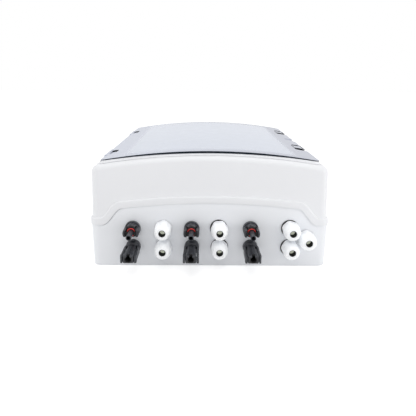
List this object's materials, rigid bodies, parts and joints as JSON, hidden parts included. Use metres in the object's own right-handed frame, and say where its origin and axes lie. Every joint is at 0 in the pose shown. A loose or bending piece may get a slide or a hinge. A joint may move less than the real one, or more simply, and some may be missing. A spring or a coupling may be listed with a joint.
{
  "type": "dc combiner box",
  "caption": "Wall-mounted plastic combiner box for solar strings: crowned hinged window door, stepped band, panel connectors and cable glands on the entry end.",
  "frame": {"origin": "middle of the flat back face that goes against the wall", "axes": "+X to the right across the box, +Y from the cable entries to the top end, +Z out of the wall"},
  "size_m": [0.3, 0.4643, 0.1462],
  "materials": {
    "shell": "satin moulded plastic, fine spark texture",
    "door": "polished smoked clear plastic",
    "black_seal": "matte foam rubber",
    "red_seal": "silicone rubber",
    "zinc_steel": "zinc plated",
    "brass": "machined",
    "device_white": "satin moulded plastic",
    "toggle_black": "satin moulded plastic",
    "cartridge_grey": "satin moulded plastic",
    "gland_white": "satin nylon",
    "connector_black": "satin moulded plastic",
    "wire_red": "smooth insulation",
    "wire_black": "smooth insulation"
  },
  "bodies": {
    "enclosure": {"base_shell": "shell", "cover_shell": "shell", "cover_gasket": "black_seal", "door_gasket": "black_seal", "socket_seal_1": "red_seal", "socket_seal_2": "red_seal", "socket_seal_3": "red_seal", "hinge_pin_lower": "zinc_steel", "hinge_pin_upper": "zinc_steel", "cover_screw_1": "zinc_steel", "cover_screw_2": "zinc_steel", "cover_screw_3": "zinc_steel", "cover_screw_4": "zinc_steel", "din_rail_lower": "zinc_steel", "din_rail_upper": "zinc_steel", "earth_bar": "brass", "breaker_body_1": "device_white", "breaker_body_2": "device_white", "breaker_body_3": "device_white", "surge_base_1": "device_white", "surge_base_2": "device_white", "surge_base_3": "device_white", "surge_cartridge_1_left": "cartridge_grey", "surge_cartridge_1_right": "cartridge_grey", "surge_cartridge_2_left": "cartridge_grey", "surge_cartridge_2_right": "cartridge_grey", "surge_cartridge_3_left": "cartridge_grey", "surge_cartridge_3_right": "cartridge_grey", "gland_body_1": "gland_white", "gland_body_2": "gland_white", "gland_body_3": "gland_white", "gland_body_4": "gland_white", "gland_body_5": "gland_white", "gland_body_6": "gland_white", "gland_body_7": "gland_white", "pv_socket_1": "connector_black", "pv_socket_2": "connector_black", "pv_socket_3": "connector_black", "pv_plug_1": "connector_black", "pv_plug_2": "connector_black", "pv_plug_3": "connector_black", "string_wire_1_plus": "wire_red", "string_wire_2_plus": "wire_red", "string_wire_3_plus": "wire_red", "string_wire_1_minus": "wire_black", "string_wire_2_minus": "wire_black", "string_wire_3_minus": "wire_black"},
    "door": {"window_door": "door"},
    "toggle_1": {"breaker_toggle_1": "toggle_black"},
    "toggle_2": {"breaker_toggle_2": "toggle_black"},
    "toggle_3": {"breaker_toggle_3": "toggle_black"},
    "gland_nut_1": {"gland_nut_1": "gland_white"},
    "gland_nut_2": {"gland_nut_2": "gland_white"},
    "gland_nut_3": {"gland_nut_3": "gland_white"},
    "gland_nut_4": {"gland_nut_4": "gland_white"},
    "gland_nut_5": {"gland_nut_5": "gland_white"},
    "gland_nut_6": {"gland_nut_6": "gland_white"},
    "gland_nut_7": {"gland_nut_7": "gland_white"}
  },
  "joints": [
    {"name": "door_hinge", "type": "hinge", "parent": "enclosure", "child": "door", "pos_m": [-0.1351, 0, 0.13246], "axis": [0, -1, 0], "range_deg": [0, 150]},
    {"name": "toggle_1_throw", "type": "hinge", "parent": "enclosure", "child": "toggle_1", "pos_m": [-0.07, -0.075, 0.112], "axis": [-1, 0, 0], "range_deg": [0, 70]},
    {"name": "toggle_2_throw", "type": "hinge", "parent": "enclosure", "child": "toggle_2", "pos_m": [0, -0.075, 0.112], "axis": [-1, 0, 0], "range_deg": [0, 70]},
    {"name": "toggle_3_throw", "type": "hinge", "parent": "enclosure", "child": "toggle_3", "pos_m": [0.07, -0.075, 0.112], "axis": [-1, 0, 0], "range_deg": [0, 70]},
    {"name": "gland_nut_1_turn", "type": "hinge", "parent": "enclosure", "child": "gland_nut_1", "pos_m": [-0.058, -0.20623, 0.05], "axis": [0, -1, 0], "range_deg": [0, 360]},
    {"name": "gland_nut_2_turn", "type": "hinge", "parent": "enclosure", "child": "gland_nut_2", "pos_m": [-0.058, -0.20577, 0.0255], "axis": [0, -1, 0], "range_deg": [0, 360]},
    {"name": "gland_nut_3_turn", "type": "hinge", "parent": "enclosure", "child": "gland_nut_3", "pos_m": [0.012, -0.20623, 0.05], "axis": [0, -1, 0], "range_deg": [0, 360]},
    {"name": "gland_nut_4_turn", "type": "hinge", "parent": "enclosure", "child": "gland_nut_4", "pos_m": [0.012, -0.20577, 0.0255], "axis": [0, -1, 0], "range_deg": [0, 360]},
    {"name": "gland_nut_5_turn", "type": "hinge", "parent": "enclosure", "child": "gland_nut_5", "pos_m": [0.101, -0.20623, 0.05], "axis": [0, -1, 0], "range_deg": [0, 360]},
    {"name": "gland_nut_6_turn", "type": "hinge", "parent": "enclosure", "child": "gland_nut_6", "pos_m": [0.101, -0.20577, 0.0255], "axis": [0, -1, 0], "range_deg": [0, 360]},
    {"name": "gland_nut_7_turn", "type": "hinge", "parent": "enclosure", "child": "gland_nut_7", "pos_m": [0.121, -0.206, 0.0378], "axis": [0, -1, 0], "range_deg": [0, 360]}
  ]
}
